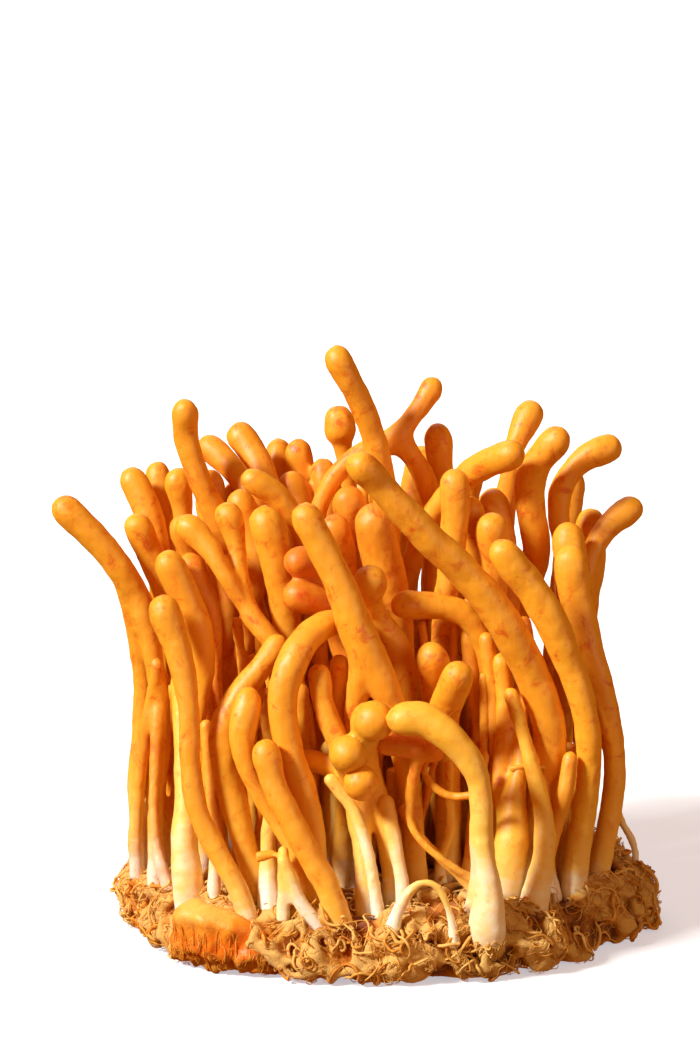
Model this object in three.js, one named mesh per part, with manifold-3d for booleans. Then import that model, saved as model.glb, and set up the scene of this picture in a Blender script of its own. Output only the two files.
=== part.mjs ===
// A clump of Cordyceps militaris: finger-like orange fruiting bodies (stromata)
// standing on the disc of mycelium that they grew from. Millimetres, +Z up.
// The origin is the middle of the disc's flat underside; -Y is the show side.
import * as THREE from "three";
import { mergeVertices } from "three/addons/utils/BufferGeometryUtils.js";
import Module from "manifold-3d";

// Driving dimensions
const matDiameter = 67; // across the mycelium disc
const matThickness = 8.6; // at its middle
const clumpHeight = 76.5; // underside of the disc to the highest tip
const clubGirth = 1; // thickness of the round tips and upper stems, 1 as drawn
const stemGirth = 1; // thickness of the lower stems and feet, 1 as drawn
const touchGap = 0.3; // air left between neighbours

// The sizes that the points below are for
const drawn = { matDiameter: 67, matThickness: 8.6, clumpHeight: 76.5 };
const footInset = 2.6; // how far inside the rim the middle of a thin foot stays
const stemSides = 7;
const tuftSides = 6;
const ringStep = 4.5; // along a stem
const tuftRingStep = 6; // along a stem of the plainer side away from the viewer
const walkStep = 1.8; // between the points that push each other apart
const pushRounds = 240;

const colours = { flesh: 0xf29a1f, mat: 0xd9a55b, skin: 0xf0761a };

// Every stroma is a list of branches, and a branch is a list of [x, y, z, radius] from its foot
// to the middle of its round tip. A branch after the first starts inside an earlier one.
const stromata = [
  {
    name: "left_outrigger",
    branches: [
      [[-31, -6, 6, 1.3], [-31, -6, 14, 1.2], [-29, -7, 27, 1.2], [-30, -7, 38, 1.3],
        [-32, -7, 45, 1.6], [-36, -8, 51, 1.9], [-41, -8, 56, 2]],
      [[-34, -7.5, 48, 1.4], [-33, -7, 43, 1.3], [-31.5, -6, 37, 1.3], [-31.5, -5, 28, 1.3],
        [-33, -4.5, 16, 1.3],
        [-32, -4, 6, 1.3]],
    ],
  },
  {
    name: "left_upper_a",
    branches: [
      [[-31, 4, 6, 1.3], [-31, 4, 21, 1.2], [-29, 3, 35, 1.3], [-29, 1, 45, 1.7], [-30, 2, 53, 2],
        [-33, 3, 58, 1.8]],
    ],
  },
  {
    name: "left_upper_pair",
    branches: [
      [[-27, 8, 6, 1.3], [-28, 8, 24, 1.3], [-29, 7, 40, 1.4], [-29, 6, 50, 1.6], [-30, 8, 58, 1.6]],
      [[-27.5, 8, 12, 1.2], [-26, 4, 28, 1.2], [-26, 2, 44, 1.3], [-27, 2, 53, 1.3], [-27, 2, 58, 1.8]],
    ],
  },
  {
    name: "left_tall",
    branches: [
      [[-14, -2, 7, 1.5], [-15, -2, 25, 1.4], [-17, -1, 40, 1.5], [-20, 0, 50, 1.6],
        [-24, -2, 59, 1.6], [-26, -2, 65, 1.6], [-26, -3, 68, 1.75]],
    ],
  },
  {
    name: "left_inner_pair",
    branches: [
      [[-16, 6, 7, 1.5], [-16, 4, 25, 1.4], [-15, 3, 45, 1.5], [-17, 3, 57, 1.6], [-20, 5, 60, 1.6],
        [-23, 6, 62, 1.75]],
      [[-16, 5.5, 12, 1.4], [-14, 7, 30, 1.4], [-13, 6, 48, 1.6], [-14, 5, 57, 1.8],
        [-17, 8, 61, 1.9], [-19, 9, 63, 1.85]],
    ],
  },
  {
    name: "left_short_trio",
    branches: [
      [[-20, 3, 7, 1.5], [-20, 2, 28, 1.4], [-20, 1, 45, 1.3], [-21, 2, 53, 1.3], [-22, 3, 58, 1.55]],
      [[-20, 2, 36, 1.3], [-18.5, 4, 48, 1.2], [-19, 4, 57, 1.3]],
      [[-20, 2, 26, 1.3], [-17.5, -1, 40, 1.3], [-17, 0, 52, 1.5], [-19, 0, 56, 1.7]],
    ],
  },
  {
    name: "swan_neck",
    branches: [
      [[-8, -7, 7, 1.3], [-8, -6, 28, 1.1], [-9, -6, 42, 1], [-10, -6, 50, 1.05],
        [-13, -7, 57, 1.6], [-17, -8, 60, 1.5]],
      [[-8, -6.5, 16, 1.2], [-11, -4, 30, 1.3], [-12, -5, 44, 1.6], [-13, -6, 51, 1.7],
        [-15, -6, 55, 1.5]],
    ],
  },
  {
    name: "slingshot",
    branches: [
      [[-12, -15, 7, 1.5], [-10, -14, 24, 1.3], [-11, -14, 32, 1.4], [-14, -13, 40, 1.5],
        [-18, -12, 44, 1.3], [-18.5, -11, 48, 1], [-19, -10, 52, 1.2], [-20, -10, 55, 1.75]],
      [[-18, -12, 44, 1], [-20, -13, 48, 1], [-22, -11, 52, 1.5], [-24, -10, 54, 1.8]],
    ],
  },
  {
    name: "left_mid_a",
    branches: [
      [[-22, -6, 7, 1.4], [-23, -5, 28, 1.3], [-24, -4, 44, 1.4], [-25, -5, 49, 1.6],
        [-26, -6, 53, 1.95]],
    ],
  },
  {
    name: "left_thin_waisted",
    branches: [
      [[-20, -14, 7, 0.9], [-22, -14, 16, 0.7], [-24, -14, 26, 0.65], [-24, -14, 31, 0.8],
        [-23, -14, 37, 1.45], [-24, -14, 43, 1.95], [-27, -14, 50, 1.95]],
    ],
  },
  {
    name: "left_spoon",
    branches: [
      [[-18, -11, 7, 1], [-20, -10, 20, 0.8], [-22, -10, 35, 0.65], [-21, -11, 41, 0.7],
        [-22, -11, 46, 1.5], [-23, -12, 50, 2.1]],
    ],
  },
  {
    name: "left_swollen_foot",
    branches: [
      [[-25, -17, 6, 2], [-26, -16, 12, 2.05], [-26, -14, 20, 1.2], [-27, -9, 32, 1.2],
        [-28, -4, 42, 1.5], [-30, -3, 48, 1.85], [-32, -4, 53, 1.85]],
    ],
  },
  {
    name: "front_left_long",
    branches: [
      [[-17, -26, 7, 1.3], [-20, -25, 13, 1.3], [-23, -24, 17, 1.4], [-25, -23, 26, 1.3],
        [-25, -22, 34, 1.35], [-26, -21, 39, 1.6], [-28, -20, 45, 2.25]],
    ],
  },
  {
    name: "left_stout",
    branches: [
      [[-13, -9, 7, 1.5], [-12, -9, 28, 1.5], [-13, -10, 40, 1.9], [-15, -10, 48, 2.25],
        [-18, -10, 54, 2.35]],
    ],
  },
  {
    name: "twin_buds",
    branches: [
      [[-4, -12, 7, 1.5], [-4, -12, 28, 1.4], [-6, -11, 41, 1.6], [-8, -13, 45, 2],
        [-11, -14, 46, 2.2]],
      [[-6, -11, 41, 1.5], [-7, -11, 47, 1.6], [-9, -12.5, 50, 1.8], [-11, -14, 50.5, 1.95]],
    ],
  },
  {
    name: "tallest",
    branches: [
      [[-1, 0, 8, 1.7], [0, -1, 30, 1.6], [0, -2, 50, 1.7], [-1, -2, 62, 1.7], [-3, -3, 69, 1.45],
        [-5, -4, 73, 1.65], [-6, -4, 75, 1.8]],
    ],
  },
  {
    name: "ball_on_stalk",
    branches: [
      [[-6, 10, 8, 1.4], [-7, 9, 35, 1.3], [-6, 8, 55, 1.1], [-6, 8, 61.5, 1.05], [-6, 8, 63, 1.4],
        [-6, 8, 65, 2.15]],
    ],
  },
  {
    name: "knuckled_arch",
    branches: [
      [[5, 5, 8, 1.5], [5, 5, 35, 1.4], [6, 4, 56, 1.45], [4, 4, 61, 1.4], [1, 3, 64, 1.65],
        [4, 4, 67, 1.15], [6, 5, 70, 1.35]],
      [[1, 3, 64, 1.4], [-3, 2, 63, 1.4], [-7, 1, 59, 1.2], [-9, 1, 54, 1.1], [-8, 2, 38, 1.2],
        [-6, 4, 8, 1.4]],
    ],
  },
  {
    name: "centre_back_a",
    branches: [
      [[9, 8, 8, 1.5], [9, 7, 35, 1.4], [8, 6, 55, 1.3], [7, 6, 60, 1.6], [7, 7, 63, 1.85]],
    ],
  },
  {
    name: "centre_straight",
    branches: [
      [[7, -5, 8, 1.5], [7, -6, 30, 1.4], [8, -6, 46, 1.5], [9, -6, 52, 1.8], [9, -6, 59, 1.95]],
    ],
  },
  {
    name: "crown_four",
    branches: [
      [[-11, 10, 8, 1.6], [-12, 10, 35, 1.4], [-11, 10, 52, 1.5], [-12, 12, 60, 1.85]],
      [[-12, 10, 40, 1.2], [-14, 12, 52, 1.3], [-14, 15, 60, 1.55]],
      [[-11, 10, 14, 1.3], [-10, 6, 35, 1.4], [-11, 6, 52, 1.7], [-12, 8, 57, 2.1]],
      [[-10, 6, 40, 1.2], [-8.5, 7, 53, 1.4], [-9, 9, 58, 1.65]],
    ],
  },
  {
    name: "centre_dimpled_pair",
    branches: [
      [[-4, 3, 8, 1.6], [-3, 2, 35, 1.5], [-4, 1, 50, 1.8], [-5, 0, 56, 2.4]],
      [[-4, 2.5, 14, 1.4], [-5, -2, 33, 1.5], [-5, -2, 47, 1.7], [-6, -3, 53, 2]],
    ],
  },
  {
    name: "centre_stout",
    branches: [
      [[3, -4, 8, 1.6], [2, -3, 30, 1.8], [1, -3, 42, 2.3], [0, -3, 48, 2.7], [-1, -4, 54, 2.7]],
    ],
  },
  {
    name: "front_diagonal",
    branches: [
      [[16, -17, 7, 1.9], [18, -16, 14, 2], [20, -15, 21, 2.1], [20, -15, 27, 2.2],
        [19, -15, 33, 2.3], [15, -17, 43, 2.4],
        [10, -18, 50, 2.2], [4, -20, 56, 2.05], [-1, -21, 62, 1.9], [-3, -22, 64, 2.05]],
    ],
  },
  {
    name: "right_upper_a",
    branches: [
      [[16, 8, 8, 1.5], [15, 7, 35, 1.4], [16, 6, 55, 1.3], [17, 6, 62, 1.3], [19, 8, 66, 1.95]],
    ],
  },
  {
    name: "right_reaching_arm",
    branches: [
      [[3, 9, 8, 1.5], [3, 6, 35, 1.4], [6, 4, 52, 1.3], [9, 2, 57, 1.6], [11, -1, 60, 1.85],
        [14, -4, 62, 1.95], [16, -6, 63, 1.95]],
    ],
  },
  {
    name: "right_elbow",
    branches: [
      [[16, 3, 8, 1.6], [16, 3, 30, 1.6], [17, 2, 42, 1.7], [19.5, 2, 48, 2], [18, 0, 55, 1.85],
        [18, 0, 59, 2.4], [20, -1, 62, 1.85], [22, -2, 64, 2.05]],
    ],
  },
  {
    name: "right_outrigger_high",
    branches: [
      [[24, 10, 7, 1.5], [25, 8, 35, 1.4], [23.5, 4, 50, 1.4], [22, 3, 54, 1.5], [23, 4, 58, 1.6],
        [26, 4, 61, 1.7], [29, 5, 62, 1.9]],
    ],
  },
  {
    name: "right_outrigger_low",
    branches: [
      [[26, 3, 7, 1.5], [27, 3, 30, 1.4], [26, 0, 47, 1.4], [28, 2, 51, 1.6], [32, 4, 54, 1.8]],
      [[26, 2.5, 14, 1.4], [26, -3, 28, 1.5], [25, -2.5, 45, 1.9], [24, -2, 51, 2.25]],
    ],
  },
  {
    name: "right_inner_pair",
    branches: [
      [[14, 2, 8, 1.5], [16, 1, 35, 1.4], [16, 0, 50, 1.7], [15, 0, 55, 2]],
      [[14, 2, 13, 1.3], [13, 0, 35, 1.3], [13, 0, 49, 1.6], [11.5, -2, 55, 1.85]],
    ],
  },
  {
    name: "right_inner_round",
    branches: [
      [[14, -4, 8, 1.5], [14, -3, 30, 1.4], [14, -3, 47, 1.8], [13, -4, 53, 2.3]],
    ],
  },
  {
    name: "right_front_long",
    branches: [
      [[24, -15, 6, 1.5], [25, -15, 14, 1.8], [26, -15, 22, 1.6], [26, -16, 28, 1.6],
        [25, -16, 33, 1.7],
        [23, -16, 38, 1.95], [21, -17, 43, 2.2], [19, -17, 47, 2.2], [15, -18, 52, 2.05]],
    ],
  },
  {
    name: "right_outer_long",
    branches: [
      [[27, -9, 6, 1.4], [29, -10, 14, 1.4], [30, -9, 22, 1.4], [29, -9, 29, 1.65],
        [27, -9, 36, 1.85], [25, -8, 43, 2.2], [24, -8, 49, 2.35]],
    ],
  },
  {
    name: "front_centre_long",
    branches: [
      [[4, -19, 8, 1.5], [3, -19, 22, 1.5], [1, -20, 33, 1.8], [-2, -20, 39, 2.4], [-4, -20, 43, 2.4],
        [-6, -20, 49, 2], [-9, -20, 55, 1.95], [-10, -20, 57, 1.95]],
      [[-3, -20, 41, 1.6], [-4, -20, 34, 1.3], [-5, -18, 22, 1.2], [-6, -17, 8, 1.3]],
    ],
  },
  {
    name: "ball_and_bow",
    branches: [
      [[2, -13, 8, 1.5], [3, -12, 25, 1.5], [3, -12, 33, 2], [2, -12, 39, 1.8], [-1, -13, 43, 1.35],
        [-2, -14.6, 45.8, 1.45], [-2, -16, 48, 2.35]],
    ],
  },
  {
    name: "level_club",
    branches: [
      [[14, -9, 8, 1.5], [14, -9, 28, 1.4], [13, -10, 38, 1.5], [11, -11, 43, 1.7],
        [7, -11, 44, 1.75], [2, -12, 44, 1.8]],
    ],
  },
  {
    name: "front_cap_pair",
    branches: [
      [[8, -15, 8, 1.6], [8, -16, 24, 1.5], [7, -18, 31, 2.1], [8, -20, 34, 2.2], [9, -22, 37, 2.1]],
      [[8, -15.5, 14, 1.3], [6, -13, 25, 1.4], [6, -14, 34, 1.8], [6, -16, 38, 2.25]],
    ],
  },
  {
    name: "ball_hub",
    branches: [
      [[1, -24, 8, 1.6], [1, -22, 15, 1.5], [-1, -21, 20, 1.8], [-3, -21, 25, 2.2],
        [-2.5, -24, 28.6, 1.3], [-2.2, -25, 30.2, 1.8], [-2, -26, 32, 2.5]],
      [[-3, -21, 25, 1.8], [-4, -22, 23, 2.2], [-4.6, -23.6, 25, 1.3], [-4.8, -25, 26.6, 1.7],
        [-5, -26, 28, 2.35]],
      [[-4, -22, 23, 1.8], [-4, -23, 19, 1.4], [-3, -25, 13, 1.2], [-3, -27, 7, 1.4]],
      [[-3.5, -21, 24, 1.6], [-6, -21, 29, 1.5], [-8, -21, 34, 1.3], [-8.5, -20.5, 37, 1.3]],
      [[-4, -21, 23, 1.3], [-7, -20, 25, 1.2], [-10, -20, 26, 1.2]],
    ],
  },
  {
    name: "front_right_bow",
    branches: [
      [[13, -30, 4, 2.4], [13, -30, 8, 2.1], [13, -30, 12, 1.6], [12, -30, 18, 1.45],
        [12, -29, 25, 1.55],
        [10, -29, 29, 1.8], [8, -29, 31, 1.95], [5, -28, 33, 2.25], [2, -28, 33, 2.1]],
    ],
  },
  {
    name: "front_arch",
    branches: [
      [[-9, -24, 7, 1.2], [-9, -24, 18, 1.2], [-11, -24, 23, 1.9], [-13, -23, 29, 1.8],
        [-14, -23, 34, 1.9], [-12, -22, 40, 2.3], [-7.5, -17, 44, 1.7], [-3, -15, 42, 1.5]],
    ],
  },
  {
    name: "front_left_hook",
    branches: [
      [[-16, -22, 7, 1.5], [-18, -21, 15, 1.5], [-20, -20, 23, 2], [-21, -20, 29, 2],
        [-20, -19, 33, 1.7],
        [-17, -18, 36, 1.4], [-14, -17, 40, 1.4]],
    ],
  },
  {
    name: "front_low_diagonal",
    branches: [
      [[-5, -30, 6, 1.7], [-7, -30, 11, 1.6], [-9, -29, 14, 1.6], [-12, -28, 20, 1.6],
        [-14, -27, 24, 1.65], [-15, -26, 28, 1.75]],
    ],
  },
  {
    name: "front_low_behind",
    branches: [
      [[-8, -26, 7, 1], [-12, -25, 16, 0.9], [-15, -24, 21, 1.1], [-17, -24, 25, 1.2],
        [-18, -23, 28, 1.4], [-17, -23, 31, 1.95], [-16, -22, 34, 1.7]],
    ],
  },
  {
    name: "right_pale_foot",
    branches: [
      [[20, -24, 6, 2.3], [21, -23, 11, 1.5], [21, -21, 17, 1.3], [20, -19, 21, 1.2],
        [19, -18, 25, 0.9], [17, -16, 34, 0.7]],
    ],
  },
  {
    name: "right_flared_foot",
    branches: [
      [[16, -20, 7, 1.9], [17, -20, 13, 2.3], [17, -19, 17, 2.2], [17, -18, 20, 1.4],
        [18, -17, 24, 0.85], [18, -14, 34, 0.8]],
      [[16, -19, 14, 1.5], [15, -15, 22, 1.2], [16, -14, 30, 0.9], [15, -13, 37, 1]],
    ],
  },
];

const wasm = await Module();
wasm.setup();

// Seeded noise for the side away from the viewer
let seed = 20;
function random() {
  seed = (seed + 0x6d2b79f5) | 0;
  let mixed = Math.imul(seed ^ (seed >>> 15), 1 | seed);
  mixed = (mixed + Math.imul(mixed ^ (mixed >>> 7), 61 | mixed)) ^ mixed;
  return ((mixed ^ (mixed >>> 14)) >>> 0) / 4294967296;
}
const between = (low, high) => low + (high - low) * random();

// The disc's outline and the height of its surface
const matOutline = (angle) =>
  (matDiameter / 2) * (1 + 0.018 * Math.sin(2 * angle + 0.6) + 0.014 * Math.sin(5 * angle + 1.1));
// [share of the way out, share of the thickness], from the middle of the top, over the rim, to the underside
const matProfile = [
  [0, 1], [0.35, 0.98], [0.65, 0.92], [0.82, 0.84], [0.92, 0.74], [0.985, 0.56], [1, 0.28], [0.97, 0],
];
const rimIndex = matProfile.length - 2;

function profileAt(share) {
  for (let i = 1; i < rimIndex; i++) {
    const [s0, h0] = matProfile[i - 1];
    const [s1, h1] = matProfile[i];
    if (share <= s1) return h0 + ((h1 - h0) * (share - s0)) / (s1 - s0);
  }
  return matProfile[rimIndex][1];
}

function matTop(x, y) {
  return matThickness * profileAt(Math.hypot(x, y) / matOutline(Math.atan2(y, x)));
}

// Stretches a drawn point to the driving sizes.
const acrossShare = matDiameter / drawn.matDiameter;
const upShare = (clumpHeight - matThickness) / (drawn.clumpHeight - drawn.matThickness);
const stemTop = 0.5 * drawn.clumpHeight;
const clubBottom = 0.62 * drawn.clumpHeight;

function placed([x, y, z, radius]) {
  const above = z - drawn.matThickness;
  const height = above > 0 ? matThickness + above * upShare : (z / drawn.matThickness) * matThickness;
  const club = THREE.MathUtils.smoothstep(z, stemTop, clubBottom);
  const girth = THREE.MathUtils.lerp(stemGirth, clubGirth, club);
  return { at: new THREE.Vector3(x * acrossShare, y * acrossShare, height), radius: radius * girth };
}

// The side away from the viewer: two rows of tufts, of two or three stromata that share a foot
const backRows = [
  { count: 7, from: 24, to: 156, reach: 27.5, height: 56, lean: [3, 8] },
  { count: 6, from: 48, to: 142, reach: 18.5, height: 58.5, lean: [0, 4] },
];
const lowTufts = [1]; // young ones, which leave the clump open at the right
const lowHeight = 25;

function backTuft(row, index, number) {
  const degrees = THREE.MathUtils.lerp(row.from, row.to, index / (row.count - 1));
  const angle = THREE.MathUtils.degToRad(degrees) + between(-0.05, 0.05);
  const [outX, outY] = [Math.cos(angle), Math.sin(angle)];
  const place = (along, across, z, radius) =>
    [outX * along - outY * across, outY * along + outX * across, z, radius];
  const foot = row.reach + between(-1.2, 1.2);
  const fullHeight = lowTufts.includes(number) ? lowHeight : row.height;
  const branches = [];
  const count = number % 3 === 2 ? 3 : 2;
  for (let i = 0; i < count; i++) {
    const turn = (i / (count - 1) - 0.5) * 2;
    const top = between(0.78, 1) * fullHeight;
    const lean = (between(...row.lean) + (i === 1 ? 2.5 : -1)) * Math.sin(angle);
    const [bow, sway, curl] = [between(-2.4, 2.4), between(-2, 2), between(-2.2, 2.2)];
    const tip = between(1.75, 2.3);
    const stem = between(1.25, 1.5);
    const up = (share) => THREE.MathUtils.lerp(drawn.matThickness, top, share);
    branches.push([
      place(foot, 0, i === 0 ? 6.5 : up(0.06 + 0.02 * i), i === 0 ? 1.7 : 1.3),
      place(foot - 0.5, turn * 1.5, up(i === 0 ? 0.12 : 0.2), stem),
      place(foot + bow, turn * 3 + sway, up(0.42), stem),
      place(foot + lean * 0.35, turn * 3.6 - sway, up(0.7), stem + 0.1),
      place(foot + lean * 0.8, turn * 4.2, up(0.9), tip - 0.25),
      place(foot + lean, turn * 4.4 + curl, up(1), tip),
    ]);
  }
  const name = `back_tuft_${String(number + 1).padStart(2, "0")}`;
  return { name, branches, sides: tuftSides, step: tuftRingStep };
}

let tuftNumber = 0;
for (const row of backRows)
  for (let i = 0; i < row.count; i++) {
    stromata.push(backTuft(row, i, tuftNumber));
    tuftNumber += 1;
  }

// Walks a smooth curve through the points in even steps, radius and all.
const perSpan = 12; // steps between two drawn points, before they are evened out

function walk(points) {
  const stops = points.map(placed);
  const curve = new THREE.CatmullRomCurve3(stops.map((s) => s.at), false, "centripetal");
  const fine = [];
  for (let i = 0; i <= (stops.length - 1) * perSpan; i++) {
    const span = Math.min(Math.floor(i / perSpan), stops.length - 2);
    const share = THREE.MathUtils.smoothstep(i / perSpan - span, 0, 1);
    const radius = THREE.MathUtils.lerp(stops[span].radius, stops[span + 1].radius, share);
    fine.push({ at: curve.getPoint(i / ((stops.length - 1) * perSpan)), radius });
  }
  return evenSteps(fine, walkStep);
}

function evenSteps(line, step) {
  const arc = [0];
  for (let i = 1; i < line.length; i++) arc.push(arc[i - 1] + line[i].at.distanceTo(line[i - 1].at));
  const count = Math.max(3, Math.round(arc.at(-1) / step));
  const out = [];
  let k = 0;
  for (let i = 0; i <= count; i++) {
    const want = (arc.at(-1) * i) / count;
    while (k < line.length - 2 && arc[k + 1] < want) k++;
    const share = (want - arc[k]) / (arc[k + 1] - arc[k]);
    out.push({
      at: line[k].at.clone().lerp(line[k + 1].at, share),
      radius: THREE.MathUtils.lerp(line[k].radius, line[k + 1].radius, share),
    });
  }
  return out;
}

// All branches as lines of points, each branch tied to the point of an earlier one that it grows from
const footHeight = matThickness * 1.02;
const lines = [];
for (const [node, stroma] of stromata.entries()) {
  const own = [];
  for (const branch of stroma.branches) {
    const points = walk(branch);
    const line = { node, points, footFirst: false, footLast: false, parent: null };
    line.footFirst = points[0].at.z < footHeight;
    line.footLast = points.at(-1).at.z < footHeight;
    if (own.length && !line.footFirst) {
      let best = Infinity;
      for (const other of own)
        for (const point of other.points) {
          const away = point.at.distanceTo(points[0].at);
          if (away < best) {
            best = away;
            line.parent = point;
          }
        }
    }
    for (const point of points) point.line = line;
    own.push(line);
  }
  stroma.lines = own;
  lines.push(...own);
}
const walked = lines.flatMap((line) => line.points);
for (const point of walked) {
  point.home = point.at.clone();
  point.push = new THREE.Vector3();
}

const tieLength = 9; // how many points of a branch follow the place that it grows from
const siblingReach = 9; // mm from a shared root within which branches may merge
const contactSlack = 0.42; // for the flats between points and the corners of a section
const sideShare = 0.45; // neighbours part mostly in depth, so the show side keeps its outline
const upwardShare = 0.18; // and least of all up or down
const pushShare = 0.35; // of what is missing, in one round
const easing = 0.12; // how strongly a bend that the pushing made is evened out, in one round
const lookRounds = 12; // rounds between two searches for neighbours
const lookAhead = 2.5; // mm apart at which a pair is watched already
const gridCell = 7; // mm
const footOverhang = 0.55; // share of a foot's radius that counts against the rim

function mayTouch(a, b) {
  if (a.line === b.line) return true;
  if (a.line.node !== b.line.node) return false;
  const rootA = a.line.parent ?? a.line.points[0];
  const rootB = b.line.parent ?? b.line.points[0];
  return [rootA, rootB, a.line.points[0], b.line.points[0]].some(
    (root) => root.at.distanceTo(a.at) < siblingReach || root.at.distanceTo(b.at) < siblingReach,
  );
}

function neighbours() {
  const grid = new Map();
  const key = (x, y, z) => `${x},${y},${z}`;
  for (const point of walked) {
    const [x, y, z] = point.at.toArray().map((v) => Math.floor(v / gridCell));
    point.cell = [x, y, z];
    if (!grid.has(key(x, y, z))) grid.set(key(x, y, z), []);
    grid.get(key(x, y, z)).push(point);
  }
  for (const [i, point] of walked.entries()) point.order = i;
  const pairs = [];
  for (const a of walked) {
    const [x, y, z] = a.cell;
    for (let i = x - 1; i <= x + 1; i++)
      for (let j = y - 1; j <= y + 1; j++)
        for (let k = z - 1; k <= z + 1; k++)
          for (const b of grid.get(key(i, j, k)) ?? []) {
            const near = a.at.distanceTo(b.at) < a.radius + b.radius + lookAhead;
            if (b.order > a.order && near && !mayTouch(a, b)) pairs.push([a, b]);
          }
  }
  return pairs;
}

function keepFeetOnMat(line) {
  for (const [isFoot, point] of [[line.footFirst, line.points[0]], [line.footLast, line.points.at(-1)]]) {
    if (!isFoot) continue;
    const angle = Math.atan2(point.at.y, point.at.x);
    const most = matOutline(angle) - footInset - point.radius * footOverhang;
    const away = Math.hypot(point.at.x, point.at.y);
    if (away > most) {
      point.at.x *= most / away;
      point.at.y *= most / away;
    }
    point.at.z = matTop(point.at.x, point.at.y) + touchGap;
  }
}

function growApart() {
  const gapTo = new THREE.Vector3();
  let pairs = [];
  for (let round = 0; round < pushRounds; round++) {
    if (round % lookRounds === 0) pairs = neighbours();
    for (const point of walked) point.push.set(0, 0, 0);
    for (const [a, b] of pairs) {
      gapTo.subVectors(b.at, a.at);
      const away = gapTo.length();
      const short = a.radius + b.radius + touchGap + contactSlack - away;
      if (short <= 0) continue;
      gapTo.divideScalar(away || 1);
      gapTo.x *= sideShare;
      gapTo.z *= upwardShare;
      gapTo.normalize().multiplyScalar(short * pushShare);
      b.push.add(gapTo);
      a.push.sub(gapTo);
    }
    for (const line of lines) {
      const { points } = line;
      const spread = points.map((point, i) => {
        const before = points[Math.max(i - 1, 0)].push;
        const after = points[Math.min(i + 1, points.length - 1)].push;
        const beside = before.clone().add(after).multiplyScalar(0.5);
        return point.push.clone().lerp(beside, 0.5);
      });
      for (const [i, point] of points.entries()) {
        const stronger = point.push.lengthSq() > spread[i].lengthSq() ? point.push : spread[i];
        point.at.add(stronger);
      }
      const moved = points.map((point) => point.at.clone().sub(point.home));
      for (let i = 1; i < points.length - 1; i++) {
        const mean = moved[i - 1].clone().add(moved[i + 1]).multiplyScalar(0.5);
        points[i].at.addScaledVector(mean.sub(moved[i]), easing);
      }
      if (line.parent) {
        const step = line.parent.at.clone().sub(points[0].at);
        const reach = Math.min(tieLength, points.length);
        for (let i = 0; i < reach; i++) points[i].at.addScaledVector(step, 1 - i / reach);
      }
      keepFeetOnMat(line);
    }
  }
}
growApart();

// A tube of rings along a line, with round tips, and feet whose soles follow the disc's surface
const headRings = [2.6, 1.5, 0.7]; // the last rings before the middle of a tip, in tip radii from it
const domeDegrees = [38, 66]; // the rings round the end of a tip
const soleStep = 0.6; // the last step above a foot, as a share of a step
const cornerOut = 1.04; // corners stand a little outside the round section

function tube(line, sides, step) {
  const { points } = line;
  const arc = [0];
  for (let i = 1; i < points.length; i++) arc.push(arc[i - 1] + points[i].at.distanceTo(points[i - 1].at));
  const length = arc.at(-1);
  const tipRadius = points.at(-1).radius;
  const marks = [0];
  const lastPlain = line.footLast ? length - step * soleStep : length - tipRadius * headRings[0];
  const plainCount = Math.max(1, Math.round(lastPlain / step));
  for (let i = 1; i <= plainCount; i++) marks.push((lastPlain * i) / plainCount);
  if (!line.footLast) marks.push(...headRings.slice(1).map((radii) => length - tipRadius * radii));
  marks.push(length);

  const at = (mark) => {
    let k = 0;
    while (k < points.length - 2 && arc[k + 1] < mark) k++;
    const share = (mark - arc[k]) / (arc[k + 1] - arc[k]);
    return {
      centre: points[k].at.clone().lerp(points[k + 1].at, share),
      radius: THREE.MathUtils.lerp(points[k].radius, points[k + 1].radius, share),
    };
  };
  const rings = marks.map(at);
  for (const [i, ring] of rings.entries()) {
    const before = rings[Math.max(i - 1, 0)].centre;
    const after = rings[Math.min(i + 1, rings.length - 1)].centre;
    ring.along = after.clone().sub(before).normalize();
  }
  if (!line.footLast) {
    const end = rings.at(-1);
    for (const degrees of domeDegrees) {
      const turn = THREE.MathUtils.degToRad(degrees);
      rings.push({
        centre: end.centre.clone().addScaledVector(end.along, end.radius * Math.sin(turn)),
        radius: end.radius * Math.cos(turn),
        along: end.along,
      });
    }
  }
  const positions = [];
  const faces = [];
  let normal = new THREE.Vector3(1, 0, 0);
  for (const [i, ring] of rings.entries()) {
    normal.addScaledVector(ring.along, -normal.dot(ring.along)).normalize();
    const side = new THREE.Vector3().crossVectors(ring.along, normal);
    const isSole = (i === 0 && line.footFirst) || (i === rings.length - 1 && line.footLast);
    for (let j = 0; j < sides; j++) {
      const turn = (2 * Math.PI * j) / sides;
      const corner = ring.centre
        .clone()
        .addScaledVector(normal, Math.cos(turn) * ring.radius * cornerOut)
        .addScaledVector(side, Math.sin(turn) * ring.radius * cornerOut);
      if (isSole) corner.z = matTop(corner.x, corner.y) + touchGap;
      positions.push(...corner.toArray());
    }
  }
  const poles = [rings[0].centre.clone(), rings.at(-1).centre.clone()];
  if (line.footFirst) poles[0].z = matTop(poles[0].x, poles[0].y) + touchGap;
  const poleOut = tipRadius * (1 - Math.sin(THREE.MathUtils.degToRad(domeDegrees.at(-1))));
  if (line.footLast) poles[1].z = matTop(poles[1].x, poles[1].y) + touchGap;
  else poles[1].addScaledVector(rings.at(-1).along, poleOut);
  const first = rings.length * sides;
  positions.push(...poles[0].toArray(), ...poles[1].toArray());
  for (let j = 0; j < sides; j++) {
    const next = (j + 1) % sides;
    faces.push(first, next, j);
    const top = (rings.length - 1) * sides;
    faces.push(first + 1, top + j, top + next);
    for (let i = 0; i < rings.length - 1; i++) {
      const low = i * sides;
      faces.push(low + j, low + next, low + sides + next, low + j, low + sides + next, low + sides + j);
    }
  }
  return geometryOf(positions, faces);
}

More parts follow.
